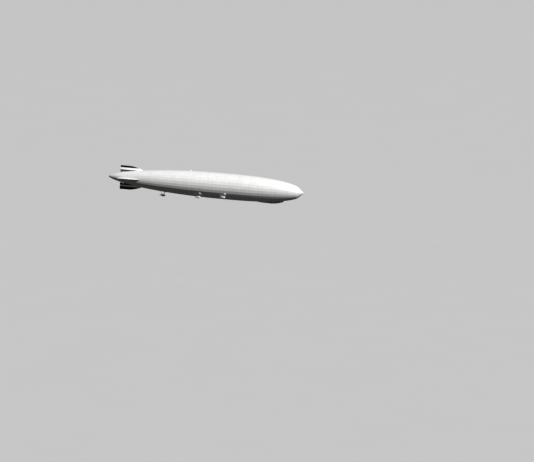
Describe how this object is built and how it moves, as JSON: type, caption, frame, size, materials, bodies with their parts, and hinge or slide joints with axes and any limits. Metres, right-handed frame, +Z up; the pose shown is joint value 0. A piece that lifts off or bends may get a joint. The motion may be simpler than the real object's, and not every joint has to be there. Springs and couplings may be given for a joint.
{
  "type": "rigid passenger airship, 1:10 scale model",
  "caption": "Long silver rigid airship with a faceted hull, cross-shaped tail with hinged rudders and elevators, hanging engine cars with pusher propellers and a glazed car under the bow.",
  "frame": {"origin": "on the hull axis at its centre of buoyancy, 10.72 m aft of the tip of the mooring spindle", "axes": "+X along the hull axis towards the nose, +Y to port, +Z up"},
  "size_m": [23.63, 3.0478, 3.4071],
  "materials": {
    "hull_cover": "cotton cloth doped with aluminium, taut over the rings",
    "fin_cover": "cotton cloth doped with aluminium, banded on the upright fins",
    "nose_metal": "machined",
    "car_shell": "riveted sheet, painted silver",
    "strut_metal": "painted silver",
    "engine": "dull",
    "propeller_wood": "varnished laminated wood",
    "bumper_rubber": "rubbered cloth",
    "cabin_cover": "doped cloth over a light metal frame",
    "window_glass": "clear sheet",
    "inner_wood": "thin plywood partition"
  },
  "bodies": {
    "hull": {"bow_cap": "hull_cover", "hull_section_1": "hull_cover", "hull_section_2": "hull_cover", "hull_section_3": "hull_cover", "hull_section_4": "hull_cover", "hull_section_5": "hull_cover", "hull_section_6": "hull_cover", "hull_section_7": "hull_cover", "hull_section_8": "hull_cover", "tail_cone": "hull_cover", "mooring_spindle": "nose_metal", "ridge_hood": "hull_cover", "upper_fin": "fin_cover", "starboard_fin": "fin_cover", "lower_fin": "fin_cover", "port_fin": "fin_cover", "forward_port_car": "car_shell", "forward_starboard_car": "car_shell", "middle_port_car": "car_shell", "middle_starboard_car": "car_shell", "aft_centre_car": "car_shell", "forward_port_engine": "engine", "forward_starboard_engine": "engine", "middle_port_engine": "engine", "middle_starboard_engine": "engine", "aft_centre_engine": "engine", "forward_port_struts": "strut_metal", "forward_starboard_struts": "strut_metal", "middle_port_struts": "strut_metal", "middle_starboard_struts": "strut_metal", "aft_centre_struts": "strut_metal", "rear_bumper": "bumper_rubber", "front_bumper": "bumper_rubber", "cabin_bow": "cabin_cover", "cabin_middle": "cabin_cover", "cabin_aft": "cabin_cover", "bow_glass": "window_glass", "port_glass": "window_glass", "starboard_glass": "window_glass", "control_room_wall": "inner_wood", "saloon_wall": "inner_wood"},
    "upper_rudder": {"upper_rudder": "fin_cover"},
    "lower_rudder": {"lower_rudder": "fin_cover"},
    "starboard_elevator": {"starboard_elevator": "fin_cover"},
    "port_elevator": {"port_elevator": "fin_cover"},
    "cabin_door": {"cabin_door": "cabin_cover"},
    "forward_port_propeller": {"forward_port_propeller": "propeller_wood"},
    "forward_starboard_propeller": {"forward_starboard_propeller": "propeller_wood"},
    "middle_port_propeller": {"middle_port_propeller": "propeller_wood"},
    "middle_starboard_propeller": {"middle_starboard_propeller": "propeller_wood"},
    "aft_centre_propeller": {"aft_centre_propeller": "propeller_wood"}
  },
  "joints": [
    {"name": "upper_rudder_turn", "type": "hinge", "parent": "hull", "child": "upper_rudder", "pos_m": [-11.04, 0, 1], "axis": [0, 0, 1], "range_deg": [-20, 20]},
    {"name": "lower_rudder_turn", "type": "hinge", "parent": "hull", "child": "lower_rudder", "pos_m": [-11.04, 0, -1], "axis": [0, 0, 1], "range_deg": [-20, 20]},
    {"name": "starboard_elevator_turn", "type": "hinge", "parent": "hull", "child": "starboard_elevator", "pos_m": [-11.04, -1, 0], "axis": [0, 1, 0], "range_deg": [-20, 20]},
    {"name": "port_elevator_turn", "type": "hinge", "parent": "hull", "child": "port_elevator", "pos_m": [-11.04, 1, 0], "axis": [0, 1, 0], "range_deg": [-20, 20]},
    {"name": "cabin_door_swing", "type": "hinge", "parent": "hull", "child": "cabin_door", "pos_m": [7.318, -0.309, -1.37], "axis": [0, 0, 1], "range_deg": [0, 100]},
    {"name": "forward_port_propeller_spin", "type": "hinge", "parent": "hull", "child": "forward_port_propeller", "pos_m": [1.095, 1.34964, -1.14053], "axis": [1, 0, 0], "continuous": true},
    {"name": "forward_starboard_propeller_spin", "type": "hinge", "parent": "hull", "child": "forward_starboard_propeller", "pos_m": [1.095, -1.34964, -1.14053], "axis": [1, 0, 0], "continuous": true},
    {"name": "middle_port_propeller_spin", "type": "hinge", "parent": "hull", "child": "middle_port_propeller", "pos_m": [-1.955, 0.9986, -1.42614], "axis": [1, 0, 0], "continuous": true},
    {"name": "middle_starboard_propeller_spin", "type": "hinge", "parent": "hull", "child": "middle_starboard_propeller", "pos_m": [-1.955, -0.9986, -1.42614], "axis": [1, 0, 0], "continuous": true},
    {"name": "aft_centre_propeller_spin", "type": "hinge", "parent": "hull", "child": "aft_centre_propeller", "pos_m": [-6.505, 0, -1.71], "axis": [1, 0, 0], "continuous": true}
  ],
  "couplings": [
    {"joint": "lower_rudder_turn", "follows": "upper_rudder_turn", "ratio": 1},
    {"joint": "port_elevator_turn", "follows": "starboard_elevator_turn", "ratio": 1}
  ]
}
